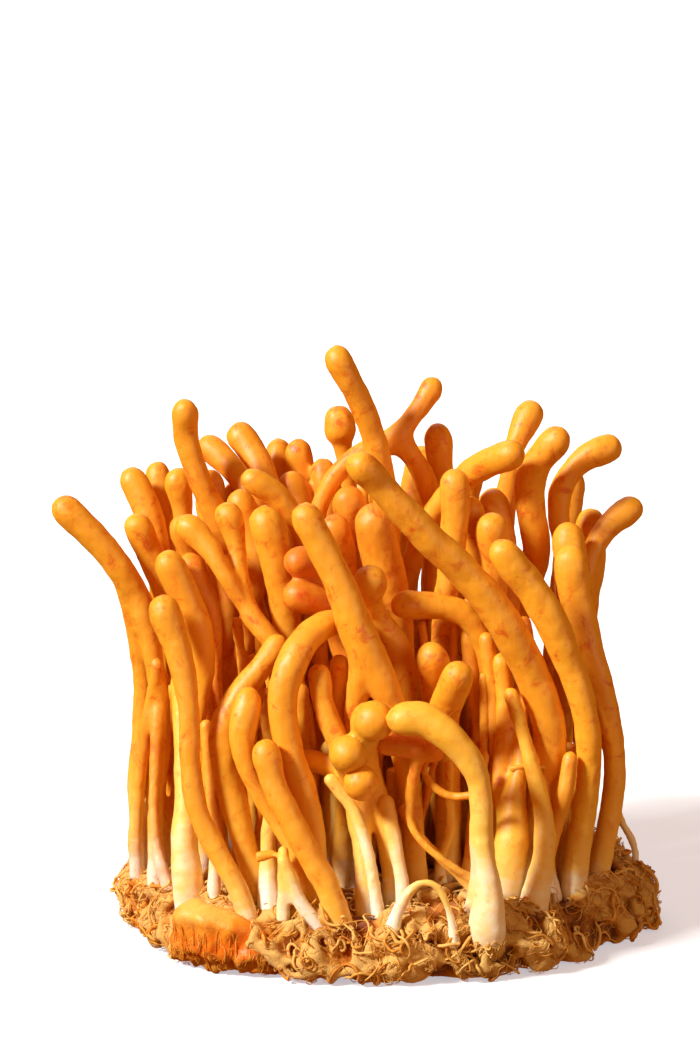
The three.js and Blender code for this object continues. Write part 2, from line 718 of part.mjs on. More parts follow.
function geometryOf(positions, faces) {
  const geometry = new THREE.BufferGeometry();
  geometry.setAttribute("position", new THREE.Float32BufferAttribute(positions, 3));
  geometry.setIndex(faces);
  return geometry;
}

function solidOf(geometry) {
  const merged = mergeVertices(geometry, 1e-4);
  return new wasm.Manifold(
    new wasm.Mesh({
      numProp: 3,
      vertProperties: new Float32Array(merged.getAttribute("position").array),
      triVerts: new Uint32Array(merged.index.array),
    }),
  );
}

function joined(geometries) {
  const sliver = 0.02; // facets thinner than this are dropped where branches merge
  let solid = solidOf(geometries[0]);
  for (const geometry of geometries.slice(1)) solid = solid.add(solidOf(geometry));
  const mesh = solid.simplify(sliver).getMesh();
  return geometryOf([...mesh.vertProperties], [...mesh.triVerts]);
}

// The mycelium disc: a low pillow with a flat underside
const matSegments = 45;

function matGeometry() {
  const positions = [0, 0, matThickness * matProfile[0][1]];
  const faces = [];
  for (const [share, height] of matProfile.slice(1))
    for (let i = 0; i < matSegments; i++) {
      const angle = (2 * Math.PI * i) / matSegments;
      const away = matOutline(angle) * share;
      positions.push(Math.cos(angle) * away, Math.sin(angle) * away, matThickness * height);
    }
  const rows = matProfile.length - 1;
  for (let i = 0; i < matSegments; i++) {
    const next = (i + 1) % matSegments;
    faces.push(0, 1 + i, 1 + next);
    for (let row = 0; row < rows - 1; row++) {
      const inner = 1 + row * matSegments;
      const outer = inner + matSegments;
      faces.push(inner + i, outer + i, outer + next, inner + i, outer + next, inner + next);
    }
  }
  const last = 1 + (rows - 1) * matSegments;
  for (let i = 1; i < matSegments - 1; i++) faces.push(last, last + i + 1, last + i);
  return geometryOf(positions, faces);
}

// The smooth orange lobe that laps over the disc's rim at the front left
// (degrees round the disc, then millimetres)
const lobe = { middle: 232, halfWidth: 14.5, thickness: 1.9, ridge: 0.25, ridges: 4, wide: 14, tall: 8 };
// [share of the way out, share of the disc's thickness], down over the rim
const lobePath = [[0.972, 0.6], [0.985, 0.56], [0.993, 0.42], [1, 0.28], [0.985, 0.14]];

function lobeGeometry() {
  const { wide, tall } = lobe;
  const onMat = (u, v) => {
    const angle = THREE.MathUtils.degToRad(lobe.middle + lobe.halfWidth * u);
    const along = v * (lobePath.length - 1);
    const k = Math.min(Math.floor(along), lobePath.length - 2);
    const share = THREE.MathUtils.lerp(lobePath[k][0], lobePath[k + 1][0], along - k);
    const height = THREE.MathUtils.lerp(lobePath[k][1], lobePath[k + 1][1], along - k);
    const away = matOutline(angle) * share;
    return new THREE.Vector3(Math.cos(angle) * away, Math.sin(angle) * away, matThickness * height);
  };
  const outward = (u, v) => {
    const angle = THREE.MathUtils.degToRad(lobe.middle + lobe.halfWidth * u);
    const rise = THREE.MathUtils.lerp(0.75, -0.1, v);
    return new THREE.Vector3(Math.cos(angle), Math.sin(angle), rise).normalize();
  };
  const backOff = touchGap + 0.15; // its flat facets would otherwise cut the round rim
  const leastThickness = 0.25;
  const positions = [];
  const faces = [];
  const index = (layer, i, j) => {
    const edge = i === 0 || j === 0 || i === wide || j === tall;
    return (edge ? 0 : layer) * (wide + 1) * (tall + 1) + j * (wide + 1) + i;
  };
  for (const layer of [0, 1])
    for (let j = 0; j <= tall; j++)
      for (let i = 0; i <= wide; i++) {
        const u = (2 * i) / wide - 1;
        const v = j / tall;
        const roundAcross = Math.sqrt(Math.max(0, 1 - u * u));
        const roundDown = Math.sqrt(Math.sin(Math.PI * Math.min(0.98, v + 0.01)));
        const round = roundAcross * roundDown;
        const squeeze = v * 0.55 * (1 - Math.abs(u)) + 0.45;
        const wave = lobe.ridge * Math.sin(Math.PI * lobe.ridges * u);
        const off = backOff + leastThickness + layer * (lobe.thickness + wave) * round;
        const spread = u * (0.72 + 0.28 * squeeze);
        const at = onMat(spread, v).addScaledVector(outward(spread, v), layer ? off : backOff);
        positions.push(...at.toArray());
      }
  for (let j = 0; j < tall; j++)
    for (let i = 0; i < wide; i++)
      for (const layer of [0, 1]) {
        const [a, b, c, d] = [[i, j], [i + 1, j], [i + 1, j + 1], [i, j + 1]].map((p) => index(layer, ...p));
        const two = layer ? [[a, c, b], [a, d, c]] : [[a, b, c], [a, c, d]];
        for (const face of two) if (new Set(face).size === 3) faces.push(...face);
      }
  return joined([geometryOf(positions, faces)]);
}

// The assembly
const clump = new THREE.Group();

function addPiece(name, geometry, colour, roughness) {
  const material = new THREE.MeshStandardMaterial({ color: colour, roughness, metalness: 0 });
  const mesh = new THREE.Mesh(geometry, material);
  mesh.name = name;
  clump.add(mesh);
}

addPiece("mycelium_mat", matGeometry(), colours.mat, 0.95);
addPiece("orange_skin_lobe", lobeGeometry(), colours.skin, 0.6);
for (const stroma of stromata) {
  const tubes = stroma.lines.map((line) => tube(line, stroma.sides ?? stemSides, stroma.step ?? ringStep));
  addPiece(stroma.name, joined(tubes), colours.flesh, 0.55);
}

export default clump;
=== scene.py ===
# A clump of Cordyceps militaris on its mycelium disc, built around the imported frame
import bpy
import heapq
import math
import random
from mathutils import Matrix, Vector, kdtree
from mathutils.bvhtree import BVHTree


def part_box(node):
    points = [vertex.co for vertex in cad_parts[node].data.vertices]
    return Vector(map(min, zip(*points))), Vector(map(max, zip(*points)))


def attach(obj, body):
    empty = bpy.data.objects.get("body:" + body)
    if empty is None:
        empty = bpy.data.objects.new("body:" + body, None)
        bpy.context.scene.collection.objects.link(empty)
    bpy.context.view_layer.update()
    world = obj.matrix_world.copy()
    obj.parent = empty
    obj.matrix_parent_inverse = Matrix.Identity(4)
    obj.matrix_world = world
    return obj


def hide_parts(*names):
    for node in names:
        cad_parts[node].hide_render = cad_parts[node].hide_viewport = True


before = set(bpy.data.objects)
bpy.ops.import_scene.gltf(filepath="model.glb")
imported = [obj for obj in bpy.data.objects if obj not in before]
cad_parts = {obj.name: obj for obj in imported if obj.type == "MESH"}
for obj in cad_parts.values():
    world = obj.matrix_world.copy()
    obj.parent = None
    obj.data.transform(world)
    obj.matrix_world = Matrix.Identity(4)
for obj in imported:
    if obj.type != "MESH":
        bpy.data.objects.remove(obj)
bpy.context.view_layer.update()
mm = 0.001
matLow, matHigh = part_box("mycelium_mat")
matTopZ = matHigh[2]
matRadius = (matHigh[0] - matLow[0]) / 2
matCentre = Vector(((matLow[0] + matHigh[0]) / 2, (matLow[1] + matHigh[1]) / 2, 0))


# small helpers
def selectOnly(obj):
    bpy.ops.object.select_all(action="DESELECT")
    obj.select_set(True)
    bpy.context.view_layer.objects.active = obj


def applyModifier(obj, kind, **settings):
    modifier = obj.modifiers.new(kind.title(), kind)
    for name, value in settings.items():
        setattr(modifier, name, value)
    selectOnly(obj)
    bpy.ops.object.modifier_apply(modifier=modifier.name)


def cloudTexture(name, size, depth=2):
    texture = bpy.data.textures.new(name, "CLOUDS")
    texture.noise_scale = size
    texture.noise_depth = depth
    return texture


def smoothShade(obj):
    selectOnly(obj)
    bpy.ops.object.shade_smooth()


def setAttribute(mesh, name, values):
    layer = mesh.attributes.new(name, "FLOAT", "POINT")
    layer.data.foreach_set("value", values)


# materials
def toLinear(hexColour):
    parts = [int(hexColour[i : i + 2], 16) / 255 for i in (1, 3, 5)]
    return [c / 12.92 if c <= 0.04045 else ((c + 0.055) / 1.055) ** 2.4 for c in parts] + [1.0]


def perMetre(sizeMm):
    return 1000.0 / sizeMm


def newMaterial(name):
    material = bpy.data.materials.new(name)
    material.use_nodes = True
    tree = material.node_tree
    tree.nodes.clear()
    return material, tree


def addNode(tree, kind, inputs=None, **settings):
    node = tree.nodes.new(kind)
    for name, value in settings.items():
        setattr(node, name, value)
    for key, value in (inputs or {}).items():
        if isinstance(value, bpy.types.NodeSocket):
            tree.links.new(value, node.inputs[key])
        else:
            node.inputs[key].default_value = value
    return node


def objectPlace(tree):
    return addNode(tree, "ShaderNodeTexCoord").outputs["Object"]


def readAttribute(tree, name):
    return addNode(tree, "ShaderNodeAttribute", attribute_name=name).outputs["Fac"]


def calculate(tree, operation, *values):
    return addNode(tree, "ShaderNodeMath", dict(enumerate(values)), operation=operation).outputs[0]


def remap(tree, value, low, high, toLow=0.0, toHigh=1.0):
    inputs = dict(enumerate((value, low, high, toLow, toHigh)))
    return addNode(tree, "ShaderNodeMapRange", inputs).outputs[0]


def noiseField(tree, place, sizeMm, detail, roughness=0.5, distortion=0.0):
    inputs = {"Vector": place, "Scale": perMetre(sizeMm), "Detail": detail,
              "Roughness": roughness, "Distortion": distortion}
    return addNode(tree, "ShaderNodeTexNoise", inputs).outputs["Fac"]


def mixColours(tree, share, under, over):
    return addNode(tree, "ShaderNodeMix", {0: share, 6: under, 7: over}, data_type="RGBA").outputs[2]


def colourRamp(tree, value, stops):
    # stops are (position, hex colour)
    ramp = addNode(tree, "ShaderNodeValToRGB", {"Fac": value})
    elements = ramp.color_ramp.elements
    while len(elements) < len(stops):
        elements.new(0.5)
    for element, (position, colour) in zip(elements, stops):
        element.position = position
        element.color = toLinear(colour)
    return ramp.outputs[0]


def relief(tree, height, strength, depthMm):
    inputs = {"Height": height, "Strength": strength, "Distance": depthMm * mm}
    return addNode(tree, "ShaderNodeBump", inputs).outputs[0]


def finishMaterial(tree, inputs):
    shader = addNode(tree, "ShaderNodeBsdfPrincipled", inputs)
    addNode(tree, "ShaderNodeOutputMaterial", {"Surface": shader.outputs[0]})


flesh = {
    "cream": "#F8F0DC",
    "straw": "#F7CE68",
    "gold": "#F5BC38",
    "orange": "#F3AC24",
    "ripe": "#D9540A",
    "speck": "#C24A08",
    "mottleMm": 6.0,
    "speckMm": 1.3,
    "speckFieldMm": 3.2,
    "bruiseMm": 2.8,
    "streakMm": 0.9,
    "streakStretch": 0.14,
    "poreMm": 0.4,
    "unevenMm": 1.5,
    "reliefMm": 0.1,
    "glowMm": 1.2,
}


def fruitingBodyFlesh():
    # Cordyceps flesh, grown: dense, satin and slightly see-through, cream at the foot and
    # orange at the club, with fine pores, rusty specks and redder bruises
    material, tree = newMaterial("fruitingBodyFlesh")
    place = objectPlace(tree)
    height = readAttribute(tree, "upFromFoot")
    tip = readAttribute(tree, "nearTip")
    ripe = readAttribute(tree, "ripeness")
    mottle = noiseField(tree, place, flesh["mottleMm"], 5.0, 0.6)
    # cream foot to orange club, the border wandering with the mottle
    wander = calculate(tree, "MULTIPLY_ADD", mottle, 0.55, height)
    rise = colourRamp(tree, calculate(tree, "ADD", wander, -0.27), [
        (0.0, flesh["cream"]), (0.2, flesh["straw"]), (0.48, flesh["gold"]), (0.95, flesh["orange"]),
    ])
    # fine streaks along the stem
    stretch = {"Vector": place, "Scale": (1, 1, flesh["streakStretch"])}
    streak = noiseField(tree, addNode(tree, "ShaderNodeMapping", stretch).outputs[0], flesh["streakMm"], 3.0)
    paleStreak = remap(tree, streak, 0.5, 0.75, 0.0, 0.15)
    streaked = mixColours(tree, paleStreak, rise, toLinear(flesh["straw"]))
    redStreak = calculate(tree, "MULTIPLY", remap(tree, streak, 0.46, 0.3, 0.0, 0.14), height)
    veined = mixColours(tree, redStreak, streaked, toLinear(flesh["ripe"]))
    # riper bodies are redder in patches
    patch = calculate(tree, "MULTIPLY", ripe, remap(tree, mottle, 0.38, 0.62, 0.45, 1.0))
    ripened = mixColours(tree, patch, veined, toLinear(flesh["ripe"]))
    # rusty specks, closest together near the club tips
    dots = addNode(tree, "ShaderNodeTexVoronoi", {"Vector": place, "Scale": perMetre(flesh["speckMm"])})
    dot = remap(tree, dots.outputs["Distance"], 0.08, 0.34, 0.8, 0.0)
    where = remap(tree, noiseField(tree, place, flesh["speckFieldMm"], 2.0), 0.5, 0.64)
    tipShare = calculate(tree, "MULTIPLY_ADD", tip, 0.35, 0.3)
    speck = calculate(tree, "MULTIPLY", calculate(tree, "MULTIPLY", dot, where), tipShare)
    speckled = mixColours(tree, speck, ripened, toLinear(flesh["speck"]))
    # redder bruises, a few on each body
    bruise = remap(tree, noiseField(tree, place, flesh["bruiseMm"], 7.0, 0.72, 0.8), 0.54, 0.67, 0.0, 0.85)
    colour = mixColours(tree, calculate(tree, "MULTIPLY", bruise, height), speckled, toLinear(flesh["ripe"]))
    # relief: fine pores, streaks and the slight unevenness of grown flesh
    pores = noiseField(tree, place, flesh["poreMm"], 3.0)
    uneven = noiseField(tree, place, flesh["unevenMm"], 4.0)
    porous = calculate(tree, "MULTIPLY_ADD", uneven, 1.6, pores)
    lined = calculate(tree, "MULTIPLY_ADD", streak, 0.5, porous)
    pitted = calculate(tree, "MULTIPLY_ADD", speck, -1.2, lined)
    finishMaterial(tree, {
        "Base Color": colour, "Roughness": remap(tree, mottle, 0.3, 0.7, 0.46, 0.58),
        "Normal": relief(tree, pitted, 0.35, flesh["reliefMm"]), "IOR": 1.4, "Specular IOR Level": 0.85,
        "Subsurface Weight": 0.35, "Subsurface Radius": (1.0, 0.4, 0.1),
        "Subsurface Scale": flesh["glowMm"] * mm,
    })
    return material


mycelium = {
    "crustAndShade": "#543012",
    "tan": "#9C652A",
    "straw": "#C88C34",
    "pale": "#E4B968",
    "rust": "#AE4506",
    "amber": "#DE7E18",
    "honey": "#E6A03A",
    "down": "#EBB865",
    "clumpMm": 4.5,
    "hairMm": 0.35,
    "reliefMm": 0.45,
    "driftMm": 9.0,
    "amberBeforeMm": -26,  # across the disc: amber up to here
    "brownAfterMm": 16,  # and brown from here on
    "strandDriftMm": 3.5,
    "strandGlowMm": 0.4,
}


def myceliumColour(tree, place, level):
    # brown and straw on the right of the disc, amber on the left where the skin has coloured; in the felt the
    # darkest steps of both ramps also stand for painted shade in the hollows
    brown = colourRamp(tree, level, [
        (0.15, mycelium["crustAndShade"]), (0.4, mycelium["tan"]), (0.62, mycelium["straw"]), (0.9, mycelium["pale"]),
    ])
    amber = colourRamp(tree, level, [
        (0.15, mycelium["rust"]), (0.42, mycelium["amber"]), (0.68, mycelium["honey"]), (0.95, mycelium["down"]),
    ])
    across = addNode(tree, "ShaderNodeSeparateXYZ", {0: place}).outputs[0]
    drift = noiseField(tree, place, mycelium["driftMm"], 3.0)
    side = remap(tree, across, mycelium["amberBeforeMm"] * mm, mycelium["brownAfterMm"] * mm, 0.85, 0.05)
    loose = calculate(tree, "MULTIPLY_ADD", drift, 1.6, side)
    return mixColours(tree, remap(tree, loose, 0.75, 1.75), brown, amber)


def matFelt():
    # Mycelium, grown as a mat: matted fibre, dull and soft, paler where the cords stand out and darker in the
    # hollows between them, that darkening being painted shade
    material, tree = newMaterial("matFelt")
    place = objectPlace(tree)
    clumps = noiseField(tree, place, mycelium["clumpMm"], 7.0, 0.7, 0.5)
    hair = noiseField(tree, place, mycelium["hairMm"], 2.0, distortion=3.0)
    matted = calculate(tree, "MULTIPLY_ADD", hair, 0.5, clumps)
    # painted shade: the lower a spot lies against the raised cords, the darker its colour
    raised = calculate(tree, "MULTIPLY_ADD", readAttribute(tree, "standsOut"), 0.4, matted)
    finishMaterial(tree, {
        "Base Color": myceliumColour(tree, place, remap(tree, raised, 0.58, 1.3)), "Roughness": 0.92,
        "Normal": relief(tree, matted, 0.8, mycelium["reliefMm"]), "IOR": 1.45, "Specular IOR Level": 0.2,
        "Sheen Weight": 0.12, "Sheen Roughness": 0.5,
    })
    return material


def fibreStrand():
    # Single mycelium threads, grown: thin, dull, and clear enough to glow; each has its own shade
    material, tree = newMaterial("fibreStrand")
    shade = readAttribute(tree, "fibreShade")
    place = objectPlace(tree)
    drift = noiseField(tree, place, mycelium["strandDriftMm"], 3.0)
    level = calculate(tree, "ADD", calculate(tree, "MULTIPLY_ADD", drift, 0.9, shade), -0.45)
    finishMaterial(tree, {
        "Base Color": myceliumColour(tree, place, level), "Roughness": 0.7, "IOR": 1.45,
        "Specular IOR Level": 0.3, "Subsurface Weight": 0.2, "Subsurface Radius": (1.0, 0.6, 0.3),
        "Subsurface Scale": mycelium["strandGlowMm"] * mm,
    })
    return material


lobeLook = {
    # the crest colour is partly a painted highlight on the lobe's lit top
    "crest": "#F6B250",
    "bright": "#F09426",
    "deep": "#E8700F",
    "foot": "#D08A30",
    "torn": "#CC7420",
    "veinMm": 2.6,
    "fineMm": 0.8,
    "reliefMm": 0.25,
    "glowMm": 1.2,
    "fringeGlowMm": 0.5,
}


def pigmentedSkin():
    # Smooth mycelium skin, grown in the light: thin, damp-looking and strongly coloured, palest on its crest, that
    # pale band being partly a painted highlight where the top of the fan faces the light
    material, tree = newMaterial("pigmentedSkin")
    place = objectPlace(tree)
    crest = readAttribute(tree, "nearCrest")
    cloud = noiseField(tree, place, lobeLook["veinMm"], 7.0, 0.7, 0.8)
    # partly painted highlight: the higher and the nearer the middle of the fan, the paler the colour
    level = calculate(tree, "ADD", calculate(tree, "MULTIPLY_ADD", cloud, 0.9, crest), -0.45)
    colour = colourRamp(tree, level, [
        (0.05, lobeLook["foot"]), (0.35, lobeLook["deep"]), (0.62, lobeLook["bright"]), (0.85, lobeLook["crest"]),
    ])
    fine = noiseField(tree, place, lobeLook["fineMm"], 4.0, distortion=1.5)
    finishMaterial(tree, {
        "Base Color": colour, "Roughness": 0.42, "Normal": relief(tree, fine, 0.4, lobeLook["reliefMm"]),
        "IOR": 1.4, "Subsurface Weight": 0.35, "Subsurface Radius": (1.0, 0.4, 0.1),
        "Subsurface Scale": lobeLook["glowMm"] * mm,
    })
    return material


def fringeFibre():
    # Torn skin of the lobe, grown: thin orange fibres, each with its own shade
    material, tree = newMaterial("fringeFibre")
    colour = colourRamp(tree, readAttribute(tree, "fibreShade"), [
        (0.1, lobeLook["torn"]), (0.3, lobeLook["foot"]), (0.45, lobeLook["bright"]), (0.6, lobeLook["crest"]),
    ])
    finishMaterial(tree, {
        "Base Color": colour, "Roughness": 0.6, "IOR": 1.4, "Subsurface Weight": 0.25,
        "Subsurface Radius": (1.0, 0.4, 0.1), "Subsurface Scale": lobeLook["fringeGlowMm"] * mm,
    })
    return material


looks = {"flesh": fruitingBodyFlesh(), "felt": matFelt(), "fibre": fibreStrand(), "skin": pigmentedSkin(),
         "fringe": fringeFibre()}
print("materials made")

# fruiting bodies, one for each CAD node
body = {
    "sinkMm": 3.2,  # how far a foot goes down into the mat
    "flareMm": 0.35,  # how much wider the foot is there
    "fillOutMm": 0.17,  # makes up what the smoothing takes off
    "headFillMm": 0.34,  # the same on the round heads, where it takes more
    "voxelMm": 0.38,
    "smoothPasses": 4,
    "lumpMm": 4.5,
    "lumpHeightMm": 0.5,
    "knobMm": 1.8,
    "knobHeightMm": 0.1,
    "soleMm": 0.7,  # a foot's lowest points, which go down into the mat
    "tipAboveMm": 8,  # a tip is at least this far above the mat
    "tipToneMm": 9,  # how far down from a tip its colour reaches
    "headReachMm": 5,  # how far down from a tip the head is filled out
    "swellingStepMm": 0.45,
    "paleFade": 2.2,  # the orange is full at this many times the pale reach
}
lumps = cloudTexture("bodyLumps", body["lumpMm"] * mm)
knobs = cloudTexture("bodyKnobs", body["knobMm"] * mm)
# how far up the pale foot reaches, in mm above the mat, and how ripe the body is
defaultTone = (8, 0.12)
bodyTones = {
    "front_right_bow": (24, 0.0),
    "right_pale_foot": (16, 0.0),
    "right_flared_foot": (9, 0.05),
    "left_swollen_foot": (22, 0.0),
    "ball_hub": (13, 0.1),
    "front_low_diagonal": (5, 0.15),
    "front_left_long": (7, 0.15),
    "twin_buds": (8, 0.75),
    "front_arch": (8, 0.15),
    "right_front_long": (10, 0.0),
    "right_outer_long": (10, 0.05),
    "left_outrigger": (12, 0.15),
    "left_spoon": (8, 0.4),
    "left_mid_a": (8, 0.4),
    "centre_dimpled_pair": (8, 0.45),
    "centre_stout": (8, 0.35),
    "crown_four": (8, 0.35),
    "left_inner_pair": (8, 0.3),
    "left_short_trio": (8, 0.3),
    "knuckled_arch": (8, 0.3),
}
# swellings that grow out of a body, blended into it: x, y, z and radius in mm along each
swellings = {
    "front_right_bow": [(12.1, -30, 17.5, 1.3), (12.35, -30.1, 15.5, 1.42), (12.6, -30.3, 13.4, 1.6),
                        (12.7, -30.5, 10.7, 1.98), (12.7, -30.7, 8, 2.36), (12.7, -30.6, 5.6, 2.3),
                        (12.7, -30.2, 3.8, 1.7)],
    "ball_on_stalk": [(-5.9, 8, 64.3, 2.15), (-5.9, 8, 64.7, 2.15)],
}
# round heads that only touch, with a crease between
budHeads = {
    "ball_hub": [((-1.6, -26.2, 32.4), 2.6), ((-4.8, -26.5, 28.3), 2.35), ((-3.2, -26.4, 24.5), 2.2)],
}


cage = {"weldMm": 0.005, "faceDegrees": 50, "shapeDegrees": 60}


def cageOf(node):
    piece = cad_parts[node].copy()
    piece.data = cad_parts[node].data.copy()
    piece.parent = None
    piece.data.materials.clear()
    for key in list(piece.keys()):
        del piece[key]
    bpy.context.scene.collection.objects.link(piece)
    selectOnly(piece)
    bpy.ops.object.mode_set(mode="EDIT")
    bpy.ops.mesh.select_all(action="SELECT")
    bpy.ops.mesh.remove_doubles(threshold=cage["weldMm"] * mm)
    bpy.ops.mesh.tris_convert_to_quads(face_threshold=math.radians(cage["faceDegrees"]),
                                       shape_threshold=math.radians(cage["shapeDegrees"]))
    bpy.ops.object.mode_set(mode="OBJECT")
    return piece


def walkFrom(mesh, starts):
    # shortest way along the edges from the start vertices, in metres
    links = [[] for _ in mesh.vertices]
    for edge in mesh.edges:
        a, b = edge.vertices
        length = (mesh.vertices[a].co - mesh.vertices[b].co).length
        links[a].append((b, length))
        links[b].append((a, length))
    away = [math.inf] * len(links)
    queue = [(0.0, i) for i in starts]
    for i in starts:
        away[i] = 0.0
    while queue:
        soFar, i = heapq.heappop(queue)
        if soFar > away[i]:
            continue
        for j, length in links[i]:
            if soFar + length < away[j]:
                away[j] = soFar + length
                heapq.heappush(queue, (away[j], j))
    return away, links


def spreadValues(points, values, mesh):
    # each fine vertex takes the mean of its three nearest given points, the nearest counting most
    tree = kdtree.KDTree(len(points))
    for i, point in enumerate(points):
        tree.insert(point, i)
    tree.balance()
    spread = [[] for _ in values]
    for vertex in mesh.vertices:
        near = [(1 / (distance + 0.2 * mm), i) for _, i, distance in tree.find_n(vertex.co, 3)]
        total = sum(weight for weight, _ in near)
        for column, out in zip(values, spread):
            out.append(sum(weight * column[i] for weight, i in near) / total)
    return spread


def headWeight(fromTip):
    return max(0.0, 1 - fromTip / mm / body["headReachMm"])


def tipTone(fromTipMm):
    return max(0.0, 1 - fromTipMm / body["tipToneMm"])


def footTone(reach, paleReach):
    return min(1.0, reach / mm / (paleReach * body["paleFade"]))


# a path's end is closed as a round head: how far past the end, and how thick, in radii of the tip
roundTip = ((0.5, 0.87), (0.8, 0.6), (0.97, 0.25))


def smoothPath(handPoints, stepMm=0.9):
    # a soft curve through the given points, with the radius carried along
    points = [Vector(p) for p in handPoints]
    ends = [2 * points[0] - points[1]] + points + [2 * points[-1] - points[-2]]
    path = []
    for a, b, c, d in zip(ends, ends[1:], ends[2:], ends[3:]):
        count = max(2, round((c.xyz - b.xyz).length / stepMm))
        for k in range(count):
            t = k / count
            path.append(0.5 * (2 * b + (c - a) * t + (2 * a - 5 * b + 4 * c - d) * t**2
                               + (3 * b - a - 3 * c + d) * t**3))
    path.append(points[-1])
    tip, before = path[-1], path[-2]
    onwards = (tip.xyz - before.xyz).normalized()
    for forward, share in roundTip:
        path.append(Vector((*(tip.xyz + onwards * tip.w * forward), tip.w * share)))
    return path


# what the flesh material reads, with its values on the heads that only touch
budTone = {"upFromFoot": 1.0, "nearTip": 0.5, "ripeness": 0.15}


def joinBall(piece, middle, radius, fine=False):
    # a fine ball is finished flesh of its own, a plain one is blended in by the remesh that follows
    bpy.ops.mesh.primitive_ico_sphere_add(subdivisions=5 if fine else 3, radius=radius * mm,
                                          location=[c * mm for c in middle])
    ball = bpy.context.object
    bpy.ops.object.transform_apply(location=True)
    if fine:
        applyModifier(ball, "DISPLACE", texture=lumps, texture_coords="LOCAL",
                      strength=body["lumpHeightMm"] * mm, mid_level=0.5)
        for label, value in budTone.items():
            setAttribute(ball.data, label, [value] * len(ball.data.vertices))
        ball.data.materials.append(looks["flesh"])
        smoothShade(ball)
    selectOnly(piece)
    ball.select_set(True)
    bpy.ops.object.join()


def finishFlesh(piece, name, points, tones, voxelMm):
    # one skin over everything, softened, then uneven as grown flesh is
    applyModifier(piece, "REMESH", mode="VOXEL", voxel_size=voxelMm * mm)
    applyModifier(piece, "SMOOTH", factor=0.5, iterations=body["smoothPasses"])
    for texture, kind in ((lumps, "lump"), (knobs, "knob")):
        applyModifier(piece, "DISPLACE", texture=texture, texture_coords="LOCAL",
                      strength=body[kind + "HeightMm"] * mm, mid_level=0.5)
    mesh = piece.data
    for label, values in zip(budTone, spreadValues(points, tones, mesh)):
        setAttribute(mesh, label, values)
    smoothShade(piece)
    piece.name = name
    mesh.materials.clear()
    mesh.materials.append(looks["flesh"])
    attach(piece, "root")


def makeBody(node):
    piece = cageOf(node)
    mesh = piece.data
    soles = [v.index for v in mesh.vertices if v.co.z < matTopZ + body["soleMm"] * mm]
    away, links = walkFrom(mesh, soles)
    tips = [i for i, near in enumerate(links)
            if mesh.vertices[i].co.z > matTopZ + body["tipAboveMm"] * mm
            and all(away[j] < away[i] for j, _ in near)]
    fromTip, _ = walkFrom(mesh, tips)
    paleReach, ripeness = bodyTones.get(node, defaultTone)
    setAttribute(mesh, "rise", [footTone(r, paleReach) for r in away])
    setAttribute(mesh, "tip", [tipTone(t / mm) for t in fromTip])
    heads = piece.vertex_groups.new(name="heads")
    for i, t in enumerate(fromTip):
        heads.add([i], headWeight(t), "REPLACE")
    # the foot goes down into the mat and flares
    for i in soles:
        vertex = mesh.vertices[i]
        outwards = Vector((vertex.normal.x, vertex.normal.y, 0))
        vertex.co += outwards * body["flareMm"] * mm + Vector((0, 0, -body["sinkMm"] * mm))
    applyModifier(piece, "SUBSURF", levels=2, render_levels=2)
    mesh = piece.data
    points = [v.co.copy() for v in mesh.vertices]
    rise, tip = ([d.value for d in mesh.attributes[label].data] for label in ("rise", "tip"))
    applyModifier(piece, "DISPLACE", strength=body["fillOutMm"] * mm, mid_level=0)
    applyModifier(piece, "DISPLACE", strength=body["headFillMm"] * mm, mid_level=0, vertex_group="heads")
    if node in swellings:
        for point in smoothPath(swellings[node], body["swellingStepMm"])[: -len(roundTip)]:
            joinBall(piece, point.xyz, point.w)
    finishFlesh(piece, "body_" + node, points, [rise, tip, [ripeness] * len(points)], body["voxelMm"])
    for middle, radius in budHeads.get(node, []):
        joinBall(piece, middle, radius, fine=True)
    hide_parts(node)
    return piece


stromaNodes = sorted(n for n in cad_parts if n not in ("mycelium_mat", "orange_skin_lobe"))
bodies = [makeBody(node) for node in stromaNodes]
print("fruiting bodies made:", len(bodies), sum(len(b.data.polygons) for b in bodies))


# thin stems, tendrils and young bodies between the big ones
def fillStems(name, stems, voxelMm=0.34):
    # stems: list of (points, pale reach in mm, ripeness), a point being x, y, z and radius in mm
    curve = bpy.data.curves.new(name, "CURVE")
    curve.dimensions = "3D"
    curve.bevel_depth = 1.0
    curve.bevel_resolution = 2
    curve.use_fill_caps = True
    places, rises, tips, ripes = [], [], [], []
    for handPoints, paleReach, ripeness in stems:
        path = smoothPath(handPoints)
        spline = curve.splines.new("POLY")
        spline.points.add(len(path) - 1)
        for target, point in zip(spline.points, path):
            target.co = (*(point.xyz * mm), 1)
            target.radius = point.w * mm
            places.append(point.xyz * mm)
            rises.append(footTone(max(0.0, point.z * mm - matTopZ), paleReach))
            tips.append(tipTone((path[-1].xyz - point.xyz).length))
            ripes.append(ripeness)
    piece = bpy.data.objects.new(name, curve)
    bpy.context.scene.collection.objects.link(piece)
    selectOnly(piece)
    bpy.ops.object.convert(target="MESH")
    piece = bpy.context.object
    finishFlesh(piece, name, places, [rises, tips, ripes], voxelMm)
    return piece


